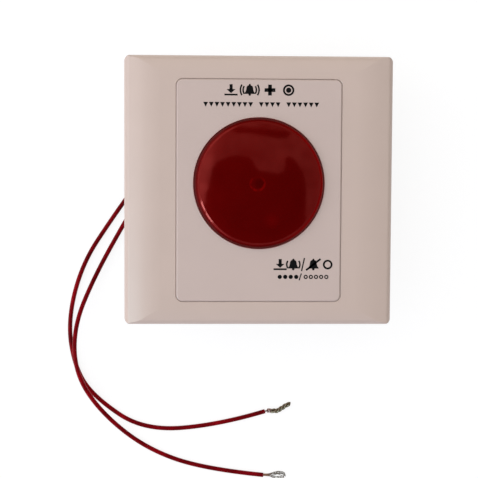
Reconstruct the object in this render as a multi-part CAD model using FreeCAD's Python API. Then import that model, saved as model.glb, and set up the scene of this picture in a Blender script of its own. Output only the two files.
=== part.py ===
import FreeCAD, Part
import math
import os

# Emergency call button on a square wall plate, in millimetres.
# Z points out of the wall, Y is up on the wall, and the back of the housing lies at z = 0.

V = FreeCAD.Vector
UP = V(0, 0, 1)

# Outer trim frame
FRAME_SIZE = 86.0
FRAME_PROJECTION = 9.0
FRAME_WALL = 2.0
FRAME_DRAFT = 0.2
FRAME_CORNER = 2.8
FRAME_EDGE = 2.2
CROWN_X = 7.5
CROWN_DROP_X = 1.6
CROWN_RADIUS_X = 38.0
CROWN_Y = 4.0
CROWN_DROP_Y = 0.8
CROWN_RADIUS_Y = 14.0
FRAME_WALL_GAP = 0.4
WINDOW_EDGE = 0.15
WINDOW_RIB = 1.5
PRY_NOTCH_WIDTH = 8.0
PRY_NOTCH_HEIGHT = 1.4

# Snap hooks of the frame
HOOK_WIDTH = 6.0
HOOK_LEG = 1.4
HOOK_NOSE = 0.8
HOOK_NOSE_HEIGHT = 0.6
HOOK_Y = 22.0
HOOK_PLAY = 0.1
HOOK_RIM_GAP = 0.6

# Inner panel, its opening and what stands behind it
PANEL_WIDTH = 52.4
PANEL_HEIGHT = 70.5
PANEL_CORNER = 2.0
PANEL_THICKNESS = 2.2
PANEL_PROUD = 0.3
PANEL_GAP = 0.1
PANEL_BEVEL = 0.3
OPENING_EDGE = 0.1
SKIRT_WALL = 1.4
COLLAR_WALL = 1.5
POST_RADIUS = 3.0
WEB_THICKNESS = 1.0

# Base plate that is screwed to the wall box
PLATE_GAP = 0.3
PLATE_CORNER = 1.2
PLATE_RIM_DEPTH = 2.5
PLATE_SHEET = 2.0
PLATE_RIM = 1.6
SLOT_SPACING = 60.3
SLOT_WIDTH = 4.5
SLOT_LENGTH = 7.0
SLOT_BOSS = 1.8
RIB_THICKNESS = 1.2
RIB_SETBACK = 0.8
SIDE_RIB_Y = 12.0
END_RIB_X = 14.0

# Back housing
COVER_WIDTH = 50.0
COVER_HEIGHT = 65.0
COVER_CORNER = 4.0
COVER_WALL = 1.8
COVER_FLOOR = 2.0
COVER_DEPTH = 16.0
COVER_EDGE = 1.0
STANDOFF_RADIUS = 4.0
STANDOFF_HEIGHT = 4.4
OUTLET_THICKNESS = 1.0
OUTLET_MARGIN = 2.4

# Screws through the housing and the board into the panel's posts
SCREW_INSET_X = 4.7
SCREW_INSET_Y = 4.2
SCREW_SHANK_RADIUS = 1.25
SCREW_LENGTH = 14.0
SCREW_HEAD_RADIUS = 2.6
SCREW_HEAD_HEIGHT = 1.9
SCREW_RECESS = 2.4
SCREW_FIT = 0.05
SCREW_CLEARANCE = 0.4
DRIVE_RADIUS = 1.3
DRIVE_SLOT = 0.6
DRIVE_DEPTH = 0.9

# Push button cap
CAP_RADIUS = 20.6
CAP_RISE = 4.0
CAP_DOME_RADIUS = 77.0
CAP_EDGE = 2.8
CAP_EDGE_SLOPE = 58.0
CAP_WALL = 1.8
CAP_CLEARANCE = 0.15
CAP_CENTRE_Y = 2.4
TRAVEL = 2.5
TRAVEL_SPARE = 0.7
LUG_COUNT = 4
LUG_REACH = 1.3
LUG_WIDTH = 5.0
LUG_HEIGHT = 1.6
LUG_PLAY = 0.1
LUG_SIDE_GAP = 0.3
ROOF_DROP = 2.6
ROOF_STEP_RADIUS = 12.0
ROOF_STEP_DROP = 0.8
BOSS_RADIUS = 2.8
BOSS_SPARE = 1.5

# Push switch
SWITCH_WIDTH = 8.5
SWITCH_HEIGHT = 8.0
SWITCH_CORNER = 0.6
PLUNGER_WIDTH = 3.2
PLUNGER_REACH = 7.0
PLUNGER_DEPTH = 2.4
PLUNGER_GAP = 0.1
PIN_PITCH_X = 5.0
PIN_PITCH_Y = 2.0
PIN_WIDTH = 0.6
PIN_BELOW = 1.2
PIN_CLEARANCE = 0.15

# Reflector tray under the cap
TRAY_THICKNESS = 1.4
TRAY_LEG = 4.6
TRAY_LEG_WIDTH = 3.0
TRAY_LEG_RING = 17.5
TRAY_CLEARANCE = 0.3

# Circuit board and the parts on it
BOARD_GAP = 0.7
BOARD_THICKNESS = 1.6
LED_COUNT = 4
LED_RING = 13.0
LED_WIDTH = 5.0
LED_HEIGHT = 1.6
LED_WELL_WIDTH = 3.6
LED_WELL_DEPTH = 0.4
LED_HOLE_WIDTH = 5.6
DIODE_WIDTH = 2.6
DIODE_LENGTH = 4.3
DIODE_HEIGHT = 2.1
DIODE_DRAFT = 0.3
DIODE_TAB_WIDTH = 1.4
DIODE_TAB_REACH = 0.6
DIODE_TAB_HEIGHT = 0.3
DIODE_INSET = 3.5
DIODE_ROWS = (16.0, 8.0, 0.0, -8.0)
RESISTOR_WIDTH = 1.6
RESISTOR_LENGTH = 3.2
RESISTOR_HEIGHT = 0.6
RESISTOR_INSET = 3.5
RESISTOR_ROWS = (8.0, -4.0)
CAPACITOR_RADIUS = 3.15
CAPACITOR_HEIGHT = 7.0
CAPACITOR_BASE = 6.6
CAPACITOR_BASE_HEIGHT = 1.0
CAPACITOR_BASE_CORNER = 1.2
CAPACITOR_INSET = 4.2

# Leads: single red wires, each a route of straight runs with arcs, from its solder joint to its bare end
WIRE_DIAMETER = 1.5
WIRE_HOLE_GAP = 0.3
JOINT_LENGTH = 2.4
JOINT_WIDTH = 2.2
JOINT_DROP = 2.2
ROUTE_A = (
    (-20.0, 9.0, 5.0),
    (-29.0, 9.0, 5.0),
    (-38.5, 4.5, 1.8),
    (-48.0, -9.5, 0.75),
    (-58.5, -25.5, 0.75),
    (-63.5, -45.0, 0.75),
    (-61.0, -61.0, 0.75),
    (-54.5, -71.0, 0.75),
    (-37.5, -83.0, 0.75),
    (-11.5, -80.5, 0.75),
    (3.8, -75.9, 0.75),
)
ROUTE_B = (
    (-20.0, 4.0, 5.0),
    (-29.0, 4.0, 5.0),
    (-38.0, -1.5, 1.8),
    (-44.0, -10.5, 0.75),
    (-54.5, -29.5, 1.6),
    (-61.0, -46.0, 5.25),
    (-60.5, -62.0, 5.25),
    (-52.0, -76.0, 2.6),
    (-36.5, -89.0, 0.75),
    (-16.5, -96.0, 0.75),
    (3.3, -98.1, 0.75),
)
ARC_SHARE = 0.45
TINNED_DIAMETER = 1.3
TINNED_STEPS = ((3.2, -0.8), (4.6, 2.7))
TINNED_LEAD = 1.4
TINNED_BEND = 1.6
STRAND_DIAMETER = 0.3
STRAND_NECK = 2.0
STRAND_LENGTH = 6.0
STRAND_ANGLES = (-24.0, -13.0, -3.0, 9.0, 21.0)

# Levels that follow from the sizes
WALL_Z = COVER_DEPTH
SHEET_BACK = WALL_Z + PLATE_RIM_DEPTH
SHEET_FRONT = SHEET_BACK + PLATE_SHEET
FRAME_BACK = WALL_Z + FRAME_WALL_GAP
FRAME_FRONT = WALL_Z + FRAME_PROJECTION
PANEL_FRONT = FRAME_FRONT + PANEL_PROUD
PANEL_BACK = PANEL_FRONT - PANEL_THICKNESS
BOARD_LOW = COVER_FLOOR + STANDOFF_HEIGHT
BOARD_TOP = BOARD_LOW + BOARD_THICKNESS
TRAY_LOW = BOARD_TOP + TRAY_LEG
TRAY_TOP = TRAY_LOW + TRAY_THICKNESS
SWITCH_TOP = BOARD_TOP + SWITCH_HEIGHT
CAP_LOW = TRAY_TOP + TRAVEL + TRAVEL_SPARE
CAP_TOP = PANEL_FRONT + CAP_RISE
PLUNGER_TOP = SWITCH_TOP + PLUNGER_REACH
BOSS_LOW = SWITCH_TOP + TRAVEL + BOSS_SPARE

# Places that follow from the sizes
BUTTON = V(0, CAP_CENTRE_Y, 0)
PLATE_HALF = FRAME_SIZE / 2 - FRAME_WALL - PLATE_GAP
COVER_INNER_X = COVER_WIDTH / 2 - COVER_WALL
COVER_INNER_Y = COVER_HEIGHT / 2 - COVER_WALL
COVER_INNER_CORNER = COVER_CORNER - COVER_WALL
BOARD_HALF_X = COVER_INNER_X - BOARD_GAP
BOARD_HALF_Y = COVER_INNER_Y - BOARD_GAP
DIODE_X = DIODE_INSET - BOARD_HALF_X
RESISTOR_X = BOARD_HALF_X - RESISTOR_INSET
CAPACITOR_Y = CAPACITOR_INSET - BOARD_HALF_Y
SCREW_X = COVER_INNER_X - SCREW_INSET_X
SCREW_Y = COVER_INNER_Y - SCREW_INSET_Y
SCREW_SPOTS = [V(x, y, 0) for x in (-SCREW_X, SCREW_X) for y in (-SCREW_Y, SCREW_Y)]
HOOK_TIP = PLATE_HALF - PLATE_RIM - HOOK_RIM_GAP
HOOK_OUTER = HOOK_TIP - HOOK_NOSE
HOOK_INNER = HOOK_OUTER - HOOK_LEG
COLLAR_INNER = CAP_RADIUS + CAP_CLEARANCE
COLLAR_OUTER = COLLAR_INNER + COLLAR_WALL

OVERCUT = 1.0
SAME_POINT = 1e-6


def block(x_low, x_high, y_low, y_high, z_low, z_high):
    return Part.makeBox(x_high - x_low, y_high - y_low, z_high - z_low, V(x_low, y_low, z_low))


def rod(spot, radius, z_low, z_high):
    return Part.makeCylinder(radius, z_high - z_low, V(spot.x, spot.y, z_low))


def tangent_wire(points, radii, closed=False):
    """Straight runs joined by tangent arcs, with one radius for each point and 0 for a sharp corner."""
    count = len(points)
    corners = []
    for i, point in enumerate(points):
        at_end = not closed and i in (0, count - 1)
        if at_end or radii[i] == 0:
            corners.append((point, None, point))
            continue
        back = (points[i - 1] - point).normalize()
        ahead = (points[(i + 1) % count] - point).normalize()
        half = back.getAngle(ahead) / 2
        setback = radii[i] / math.tan(half)
        inward = (back + ahead).normalize()
        middle = point + inward * (radii[i] / math.sin(half) - radii[i])
        corners.append((point + back * setback, middle, point + ahead * setback))
    edges = []
    for i, (start, middle, end) in enumerate(corners):
        if middle is not None:
            edges.append(Part.Arc(start, middle, end).toShape())
        if closed or i + 1 < count:
            following = corners[(i + 1) % count][0]
            if end.distanceToPoint(following) > SAME_POINT:
                edges.append(Part.LineSegment(end, following).toShape())
    return Part.Wire(edges)


def rounded_block(half_x, half_y, corner, z_low, z_high):
    points = [V(-half_x, -half_y, z_low), V(half_x, -half_y, z_low)]
    points += [V(half_x, half_y, z_low), V(-half_x, half_y, z_low)]
    outline = tangent_wire(points, [corner] * 4, closed=True)
    return Part.Face(outline).extrude(V(0, 0, z_high - z_low))


def ring_spots(centre, radius, count, start_degrees):
    angles = [math.radians(start_degrees + 360.0 * i / count) for i in range(count)]
    return [centre + V(radius * math.cos(a), radius * math.sin(a), 0) for a in angles]


def joined(first, *others):
    return first.fuse(list(others)).removeSplitter()


def both_sides(shape, normal):
    return [shape, shape.mirror(V(0, 0, 0), normal)]


def export(name, shape):
    solids = shape.Solids
    good = all(s.isValid() and s.isClosed() for s in solids)
    print(f"{name}: {len(solids)} solid, {shape.Volume:.1f} mm3, valid {good}")
    shape.exportStep(os.path.join("parts", name + ".step"))


def crowned_body(inset):
    """The frame's outer form, or its hollow when inset is the wall: two crowned profiles intersected."""
    half = FRAME_SIZE / 2 - inset
    top = FRAME_FRONT - inset
    edge = max(FRAME_EDGE - inset, FRAME_EDGE / 4)
    low = FRAME_BACK - (OVERCUT if inset else 0)

    def profile(place, crown, drop, crown_radius):
        right = [(half, low, 0), (half - FRAME_DRAFT, top - drop, edge), (half - crown, top, crown_radius)]
        left = [(-across, z, radius) for across, z, radius in reversed(right)]
        points = [place(across, z) for across, z, _ in right + left]
        return Part.Face(tangent_wire(points, [radius for _, _, radius in right + left], closed=True))

    reach = FRAME_SIZE / 2 + OVERCUT
    across_x = profile(lambda a, z: V(a, -reach, z), CROWN_X, CROWN_DROP_X, CROWN_RADIUS_X)
    across_y = profile(lambda a, z: V(-reach, a, z), CROWN_Y, CROWN_DROP_Y, CROWN_RADIUS_Y)
    body = across_x.extrude(V(0, 2 * reach, 0)).common(across_y.extrude(V(2 * reach, 0, 0)))
    corner = max(FRAME_CORNER - inset, FRAME_CORNER / 4)
    return body.common(rounded_block(half, half, corner, low - OVERCUT, top + OVERCUT))


def window_cutter(z_low, z_high, edge):
    """The panel's window with a small bevel round its front edge, of the height that is left above z_high."""
    half_x = PANEL_WIDTH / 2 + PANEL_GAP
    half_y = PANEL_HEIGHT / 2 + PANEL_GAP
    straight = rounded_block(half_x, half_y, PANEL_CORNER + PANEL_GAP, z_low, z_high)
    bevel = bevelled_block(half_x, half_y, PANEL_CORNER + PANEL_GAP, z_high - edge, z_high, edge)
    return straight.fuse(bevel)


def bevelled_block(half_x, half_y, corner, z_low, z_high, spread):
    """A rounded block that widens, or narrows when spread is negative, towards its top."""
    sections = []
    for grow, z in ((0, z_low), (spread, z_high)):
        points = [V(sx * (half_x + grow), sy * (half_y + grow), z)
                  for sx, sy in ((-1, -1), (1, -1), (1, 1), (-1, 1))]
        radius = corner + grow if corner else 0
        sections.append(tangent_wire(points, [radius] * 4, closed=True))
    return Part.makeLoft(sections, True, True)


def snap_hook(y_centre):
    """One hook on the right-hand side: a leg from the frame's front wall with a nose under the plate."""
    nose_top = SHEET_BACK - HOOK_PLAY
    nose_low = nose_top - HOOK_NOSE_HEIGHT
    tip_low = nose_low - HOOK_NOSE_HEIGHT
    root = FRAME_FRONT - FRAME_WALL
    outline = [(HOOK_INNER, root), (HOOK_OUTER, root), (HOOK_OUTER, nose_top), (HOOK_TIP, nose_top),
               (HOOK_TIP, nose_low), (HOOK_OUTER - HOOK_NOSE / 2, tip_low), (HOOK_INNER, tip_low)]
    points = [V(x, y_centre - HOOK_WIDTH / 2, z) for x, z in outline]
    return Part.Face(tangent_wire(points, [0] * len(points), closed=True)).extrude(V(0, HOOK_WIDTH, 0))


def trim_frame():
    shell = crowned_body(0).cut(crowned_body(FRAME_WALL))
    half_x = PANEL_WIDTH / 2 + PANEL_GAP + WINDOW_RIB
    half_y = PANEL_HEIGHT / 2 + PANEL_GAP + WINDOW_RIB
    rib = rounded_block(half_x, half_y, PANEL_CORNER + WINDOW_RIB, SHEET_FRONT, FRAME_FRONT - FRAME_WALL / 2)
    hooks = []
    for y in (-HOOK_Y, HOOK_Y):
        hooks += both_sides(snap_hook(y), V(1, 0, 0))
    notch = block(-PRY_NOTCH_WIDTH / 2, PRY_NOTCH_WIDTH / 2, -FRAME_SIZE / 2 - OVERCUT,
                  -FRAME_SIZE / 2 + FRAME_WALL + OVERCUT, FRAME_BACK - OVERCUT, FRAME_BACK + PRY_NOTCH_HEIGHT)
    frame = joined(shell, rib, *hooks)
    return frame.cut([window_cutter(SHEET_FRONT - OVERCUT, FRAME_FRONT, WINDOW_EDGE), notch])


def lug(spot_angle, inner, outer, width, z_low, z_high):
    """A block that reaches out from the button's centre line, for the cap's lugs and the collar's slots."""
    piece = block(inner, outer, -width / 2, width / 2, z_low, z_high)
    piece.rotate(V(0, 0, 0), UP, spot_angle)
    piece.translate(BUTTON)
    return piece


def lug_angles():
    return [45.0 + 360.0 * i / LUG_COUNT for i in range(LUG_COUNT)]


def post_web(spot):
    """A web from a screw post to the nearest long side of the panel's skirt."""
    side = math.copysign(1, spot.x)
    outer = PANEL_WIDTH / 2 - PANEL_GAP - SKIRT_WALL / 2
    x_low, x_high = sorted((spot.x, side * outer))
    return block(x_low, x_high, spot.y - WEB_THICKNESS / 2, spot.y + WEB_THICKNESS / 2, SHEET_FRONT, PANEL_BACK)


def module_panel():
    half_x = PANEL_WIDTH / 2
    half_y = PANEL_HEIGHT / 2
    shoulder = PANEL_FRONT - PANEL_BEVEL
    plate = joined(
        rounded_block(half_x, half_y, PANEL_CORNER, PANEL_BACK, shoulder),
        bevelled_block(half_x, half_y, PANEL_CORNER, shoulder, PANEL_FRONT, -PANEL_BEVEL))
    skirt_x = half_x - PANEL_GAP
    skirt_y = half_y - PANEL_GAP
    skirt = rounded_block(skirt_x, skirt_y, PANEL_CORNER, SHEET_FRONT, PANEL_BACK).cut(
        rounded_block(skirt_x - SKIRT_WALL, skirt_y - SKIRT_WALL, PANEL_CORNER / 2,
                      SHEET_FRONT - OVERCUT, PANEL_BACK + OVERCUT))
    collar = rod(BUTTON, COLLAR_OUTER, TRAY_TOP, PANEL_BACK)
    posts = [rod(spot, POST_RADIUS, BOARD_TOP, PANEL_BACK) for spot in SCREW_SPOTS]
    webs = [post_web(spot) for spot in SCREW_SPOTS]
    body = joined(plate, skirt, collar, *posts, *webs)

    opening = rod(BUTTON, COLLAR_INNER, TRAY_TOP - OVERCUT, PANEL_FRONT + OVERCUT)
    rim = Part.makeCone(COLLAR_INNER, COLLAR_INNER + OPENING_EDGE, OPENING_EDGE,
                        BUTTON + V(0, 0, PANEL_FRONT - OPENING_EDGE))
    slot_low = CAP_LOW - TRAVEL - LUG_SIDE_GAP
    slot_high = CAP_LOW + LUG_HEIGHT + LUG_PLAY
    slots = [lug(a, COLLAR_INNER - OVERCUT, COLLAR_OUTER + OVERCUT, LUG_WIDTH + 2 * LUG_SIDE_GAP,
                 slot_low, slot_high) for a in lug_angles()]
    pilot_top = SCREW_RECESS + SCREW_LENGTH + OVERCUT
    pilots = [rod(spot, SCREW_SHANK_RADIUS + SCREW_FIT, BOARD_TOP - OVERCUT, pilot_top)
              for spot in SCREW_SPOTS]
    return body.cut([opening, rim, *slots, *pilots])


def slot_solid(x_centre, width, length, z_low, z_high):
    half_run = (length - width) / 2
    middle = block(x_centre - half_run, x_centre + half_run, -width / 2, width / 2, z_low, z_high)
    ends = [rod(V(x_centre + side * half_run, 0, 0), width / 2, z_low, z_high) for side in (-1, 1)]
    return joined(middle, *ends)


def base_plate():
    outer = rounded_block(PLATE_HALF, PLATE_HALF, PLATE_CORNER, WALL_Z, SHEET_FRONT)
    inner_half = PLATE_HALF - PLATE_RIM
    hollow = rounded_block(inner_half, inner_half, PLATE_CORNER / 2, WALL_Z - OVERCUT, SHEET_BACK)
    tray = outer.cut(hollow)
    rib_low = WALL_Z + RIB_SETBACK
    half_rib = RIB_THICKNESS / 2
    clear_x = COVER_WIDTH / 2 + PLATE_GAP
    clear_y = COVER_HEIGHT / 2 + PLATE_GAP
    ribs = []
    for y in (-SIDE_RIB_Y, SIDE_RIB_Y):
        rib = block(clear_x, inner_half, y - half_rib, y + half_rib, rib_low, SHEET_BACK)
        ribs += both_sides(rib, V(1, 0, 0))
    for x in (-END_RIB_X, END_RIB_X):
        rib = block(x - half_rib, x + half_rib, clear_y, inner_half, rib_low, SHEET_BACK)
        ribs += both_sides(rib, V(0, 1, 0))
    half_spacing = SLOT_SPACING / 2
    bosses = [slot_solid(x, SLOT_WIDTH + 2 * SLOT_BOSS, SLOT_LENGTH + 2 * SLOT_BOSS, WALL_Z, SHEET_BACK)
              .cut(block(-clear_x, clear_x, -clear_y, clear_y, WALL_Z - OVERCUT, SHEET_FRONT))
              for x in (-half_spacing, half_spacing)]
    body = joined(tray, *ribs, *bosses)
    window = rounded_block(COVER_INNER_X, COVER_INNER_Y, COVER_INNER_CORNER, SHEET_BACK - OVERCUT,
                           SHEET_FRONT + OVERCUT)
    slots = [slot_solid(x, SLOT_WIDTH, SLOT_LENGTH, WALL_Z - OVERCUT, SHEET_FRONT + OVERCUT)
             for x in (-half_spacing, half_spacing)]
    sockets = []
    half_socket = HOOK_WIDTH / 2 + LUG_SIDE_GAP
    for y in (-HOOK_Y, HOOK_Y):
        sockets += both_sides(block(HOOK_INNER - HOOK_NOSE - HOOK_PLAY, HOOK_OUTER + HOOK_PLAY, y - half_socket,
                                    y + half_socket, SHEET_BACK - OVERCUT, SHEET_FRONT + OVERCUT), V(1, 0, 0))
    return body.cut([window, *slots, *sockets])


def rear_cover():
    half_x = COVER_WIDTH / 2
    half_y = COVER_HEIGHT / 2
    foot = bevelled_block(half_x - COVER_EDGE, half_y - COVER_EDGE, COVER_CORNER - COVER_EDGE, 0, COVER_EDGE,
                          COVER_EDGE)
    outer = joined(rounded_block(half_x, half_y, COVER_CORNER, COVER_EDGE, SHEET_BACK), foot)
    hollow = rounded_block(COVER_INNER_X, COVER_INNER_Y, COVER_INNER_CORNER, COVER_FLOOR, SHEET_BACK + OVERCUT)
    standoffs = [rod(spot, STANDOFF_RADIUS, COVER_FLOOR / 2, BOARD_LOW) for spot in SCREW_SPOTS]
    side = -half_x
    reach = WIRE_DIAMETER / 2 + OUTLET_MARGIN
    ys = (ROUTE_A[0][1], ROUTE_B[0][1])
    z = ROUTE_A[0][2]
    outlet = block(side - OUTLET_THICKNESS, side + COVER_WALL / 2, min(ys) - reach, max(ys) + reach,
                   z - reach, z + reach)
    corners = [e for e in outlet.Edges if e.BoundBox.XLength > OUTLET_THICKNESS]
    outlet = outlet.makeFillet(reach / 2, corners)
    body = joined(outer.cut(hollow), outlet, *standoffs)
    cuts = [rod(spot, SCREW_HEAD_RADIUS + SCREW_CLEARANCE, -OVERCUT, SCREW_RECESS) for spot in SCREW_SPOTS]
    cuts += [rod(spot, SCREW_SHANK_RADIUS + SCREW_CLEARANCE, 0, BOARD_LOW + OVERCUT) for spot in SCREW_SPOTS]
    hole_length = OUTLET_THICKNESS + COVER_WALL + 2 * OVERCUT
    cuts += [Part.makeCylinder(WIRE_DIAMETER / 2 + WIRE_HOLE_GAP, hole_length,
                               V(side - OUTLET_THICKNESS - OVERCUT, y, z), V(1, 0, 0)) for y in ys]
    return body.cut(cuts)


def cover_screw(spot):
    """A pan-head screw with a cross recess, its thread left plain."""
    head_low = SCREW_RECESS - SCREW_HEAD_HEIGHT
    screw = joined(rod(spot, SCREW_HEAD_RADIUS, head_low, SCREW_RECESS),
                   rod(spot, SCREW_SHANK_RADIUS, SCREW_RECESS, SCREW_RECESS + SCREW_LENGTH))
    half_slot = DRIVE_SLOT / 2
    arms = [block(spot.x - arm_x, spot.x + arm_x, spot.y - arm_y, spot.y + arm_y,
                  head_low - OVERCUT, head_low + DRIVE_DEPTH)
            for arm_x, arm_y in ((DRIVE_RADIUS, half_slot), (half_slot, DRIVE_RADIUS))]
    return screw.cut(arms)


def cap_outside():
    """The skirt, the dome, and between them an arc that runs into the dome and meets the skirt in a corner."""
    steepest = math.radians(CAP_EDGE_SLOPE)
    centre_z = CAP_TOP - CAP_DOME_RADIUS
    edge_r = CAP_RADIUS - CAP_EDGE * math.sin(steepest)
    reach = CAP_DOME_RADIUS - CAP_EDGE
    edge_z = centre_z + math.sqrt(reach ** 2 - edge_r ** 2)
    tilt = math.asin(edge_r / reach)
    meet_r = CAP_DOME_RADIUS * math.sin(tilt)
    meet_z = centre_z + CAP_DOME_RADIUS * math.cos(tilt)
    between = (steepest + tilt) / 2
    spots = [(0, CAP_LOW), (CAP_RADIUS, CAP_LOW), (CAP_RADIUS, edge_z + CAP_EDGE * math.cos(steepest)),
             (edge_r + CAP_EDGE * math.sin(between), edge_z + CAP_EDGE * math.cos(between)),
             (meet_r, meet_z), (0, meet_z)]
    axis_low, foot, edge, edge_mid, meet, axis_high = [BUTTON + V(r, 0, z) for r, z in spots]
    outline = Part.Wire([
        Part.LineSegment(axis_low, foot).toShape(),
        Part.LineSegment(foot, edge).toShape(),
        Part.Arc(edge, edge_mid, meet).toShape(),
        Part.LineSegment(meet, axis_high).toShape(),
        Part.LineSegment(axis_high, axis_low).toShape()])
    body = Part.Face(outline).revolve(BUTTON, UP, 360)
    dome = Part.makeSphere(CAP_DOME_RADIUS, BUTTON + V(0, 0, centre_z), V(1, 0, 0))
    crown = rod(BUTTON, CAP_RADIUS, meet_z, CAP_TOP + OVERCUT).common(dome)
    return joined(body, crown)


def button_cap():
    """A domed shell, its roof hollowed in two steps, with guide lugs and a boss for the square plunger."""
    inner = CAP_RADIUS - CAP_WALL
    shell = cap_outside().cut([rod(BUTTON, inner, CAP_LOW - OVERCUT, CAP_TOP - CAP_WALL - ROOF_DROP),
                               rod(BUTTON, ROOF_STEP_RADIUS, CAP_LOW, CAP_TOP - CAP_WALL - ROOF_STEP_DROP)])
    x, y = BUTTON.x, BUTTON.y
    boss_top = CAP_TOP - CAP_WALL
    boss = rod(BUTTON, BOSS_RADIUS, BOSS_LOW, boss_top)
    lugs = [lug(a, inner + CAP_WALL / 2, CAP_RADIUS + LUG_REACH, LUG_WIDTH, CAP_LOW, CAP_LOW + LUG_HEIGHT)
            for a in lug_angles()]
    half_socket = PLUNGER_WIDTH / 2
    socket = block(x - half_socket, x + half_socket, y - half_socket, y + half_socket,
                   BOSS_LOW - OVERCUT, PLUNGER_TOP)
    return joined(shell, boss, *lugs).cut(socket)


def switch_body():
    half = SWITCH_WIDTH / 2
    body = rounded_block(half, half, SWITCH_CORNER, BOARD_TOP, SWITCH_TOP)
    body.translate(BUTTON)
    half_bore = PLUNGER_WIDTH / 2 + PLUNGER_GAP
    bore_low = SWITCH_TOP - PLUNGER_DEPTH - TRAVEL - PLUNGER_GAP
    bore = block(-half_bore, half_bore, BUTTON.y - half_bore, BUTTON.y + half_bore,
                 bore_low, SWITCH_TOP + OVERCUT)
    return body.cut(bore)


def switch_plunger():
    half = PLUNGER_WIDTH / 2
    return block(-half, half, BUTTON.y - half, BUTTON.y + half, SWITCH_TOP - PLUNGER_DEPTH, PLUNGER_TOP)


def pin_spots():
    return [BUTTON + V(column * PIN_PITCH_X / 2, row * PIN_PITCH_Y, 0)
            for column in (-1, 1) for row in (-1, 0, 1)]


def switch_pins():
    half = PIN_WIDTH / 2
    low = BOARD_LOW - PIN_BELOW
    pins = [block(p.x - half, p.x + half, p.y - half, p.y + half, low, BOARD_TOP) for p in pin_spots()]
    return Part.makeCompound(pins)


def reflector_tray():
    disc = rod(BUTTON, COLLAR_OUTER - TRAY_CLEARANCE, TRAY_LOW, TRAY_TOP)
    half_leg = TRAY_LEG_WIDTH / 2
    legs = [block(p.x - half_leg, p.x + half_leg, p.y - half_leg, p.y + half_leg, BOARD_TOP, TRAY_LOW)
            for p in ring_spots(BUTTON, TRAY_LEG_RING, 4, 45)]
    holes = [(BUTTON, SWITCH_WIDTH / 2 + TRAY_CLEARANCE)] + [(spot, LED_HOLE_WIDTH / 2) for spot in led_spots()]
    cuts = [block(p.x - half, p.x + half, p.y - half, p.y + half, TRAY_LOW - OVERCUT, TRAY_TOP + OVERCUT)
            for p, half in holes]
    return joined(disc, *legs).cut(cuts)


def led_spots():
    return ring_spots(BUTTON, LED_RING, LED_COUNT, 0)


def led(spot):
    """A square light on the board, with a shallow square well over its chip."""
    half = LED_WIDTH / 2
    well = LED_WELL_WIDTH / 2
    top = BOARD_TOP + LED_HEIGHT
    body = block(spot.x - half, spot.x + half, spot.y - half, spot.y + half, BOARD_TOP, top)
    return body.cut(block(spot.x - well, spot.x + well, spot.y - well, spot.y + well,
                          top - LED_WELL_DEPTH, top + OVERCUT))


def diode(y):
    """A moulded block with drafted sides and a flat tab at each end."""
    body_top = BOARD_TOP + DIODE_HEIGHT
    body = bevelled_block(DIODE_WIDTH / 2, DIODE_LENGTH / 2, 0, BOARD_TOP, body_top, -DIODE_DRAFT)
    half_tab = DIODE_TAB_WIDTH / 2
    reach = DIODE_LENGTH / 2 + DIODE_TAB_REACH
    tabs = block(-half_tab, half_tab, -reach, reach, BOARD_TOP, BOARD_TOP + DIODE_TAB_HEIGHT)
    part = joined(body, tabs)
    part.translate(V(DIODE_X, y, 0))
    return part


def resistor(y):
    half_x = RESISTOR_WIDTH / 2
    half_y = RESISTOR_LENGTH / 2
    return block(RESISTOR_X - half_x, RESISTOR_X + half_x, y - half_y, y + half_y,
                 BOARD_TOP, BOARD_TOP + RESISTOR_HEIGHT)


def capacitor():
    """An upright can on its square plastic foot."""
    spot = V(0, CAPACITOR_Y, 0)
    half = CAPACITOR_BASE / 2
    foot = rounded_block(half, half, CAPACITOR_BASE_CORNER, BOARD_TOP, BOARD_TOP + CAPACITOR_BASE_HEIGHT)
    foot.translate(spot)
    return joined(foot, rod(spot, CAPACITOR_RADIUS, BOARD_TOP, BOARD_TOP + CAPACITOR_HEIGHT))


def circuit_board():
    board = block(-BOARD_HALF_X, BOARD_HALF_X, -BOARD_HALF_Y, BOARD_HALF_Y, BOARD_LOW, BOARD_TOP)
    low = BOARD_LOW - OVERCUT
    high = BOARD_TOP + OVERCUT
    holes = [rod(spot, SCREW_SHANK_RADIUS + SCREW_CLEARANCE, low, high) for spot in SCREW_SPOTS]
    half = PIN_WIDTH / 2 + PIN_CLEARANCE
    holes += [block(p.x - half, p.x + half, p.y - half, p.y + half, low, high) for p in pin_spots()]
    return board.cut(holes)


def lead_joint(start):
    """A lump of solder under the board, with a flat side for the end of the lead."""
    half = JOINT_WIDTH / 2
    lump_low = BOARD_LOW - JOINT_DROP
    lump = block(start[0], start[0] + JOINT_LENGTH, start[1] - half, start[1] + half, lump_low, BOARD_LOW)
    far_edges = [e for e in lump.Edges
                 if e.BoundBox.XMin > start[0] + SAME_POINT and e.BoundBox.ZMax < BOARD_LOW]
    return lump.makeFillet(half / 2, far_edges)


def arc_radius(points, i):
    before = (points[i] - points[i - 1]).Length
    after = (points[i + 1] - points[i]).Length
    turn = (points[i] - points[i - 1]).getAngle(points[i + 1] - points[i])
    return ARC_SHARE * min(before, after) / math.tan(turn / 2)


def tube(path, diameter):
    start = path.Edges[0].valueAt(path.Edges[0].FirstParameter)
    direction = path.Edges[0].tangentAt(path.Edges[0].FirstParameter)
    section = Part.Wire(Part.makeCircle(diameter / 2, start, direction))
    return path.makePipeShell([section], True, False)


def lead(name, route):
    points = [V(*p) for p in route]
    radii = [0] + [arc_radius(points, i) for i in range(1, len(points) - 1)] + [0]
    path = tangent_wire(points, radii)
    solid = tube(path, WIRE_DIAMETER)
    area = math.pi * WIRE_DIAMETER ** 2 / 4
    print(f"{name}: radii " + ", ".join(f"{r:.1f}" for r in radii[1:-1]))
    print(f"{name}: length {path.Length:.1f} mm, volume over section times length"
          f" {solid.Volume / (area * path.Length):.4f}")
    return solid


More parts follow.
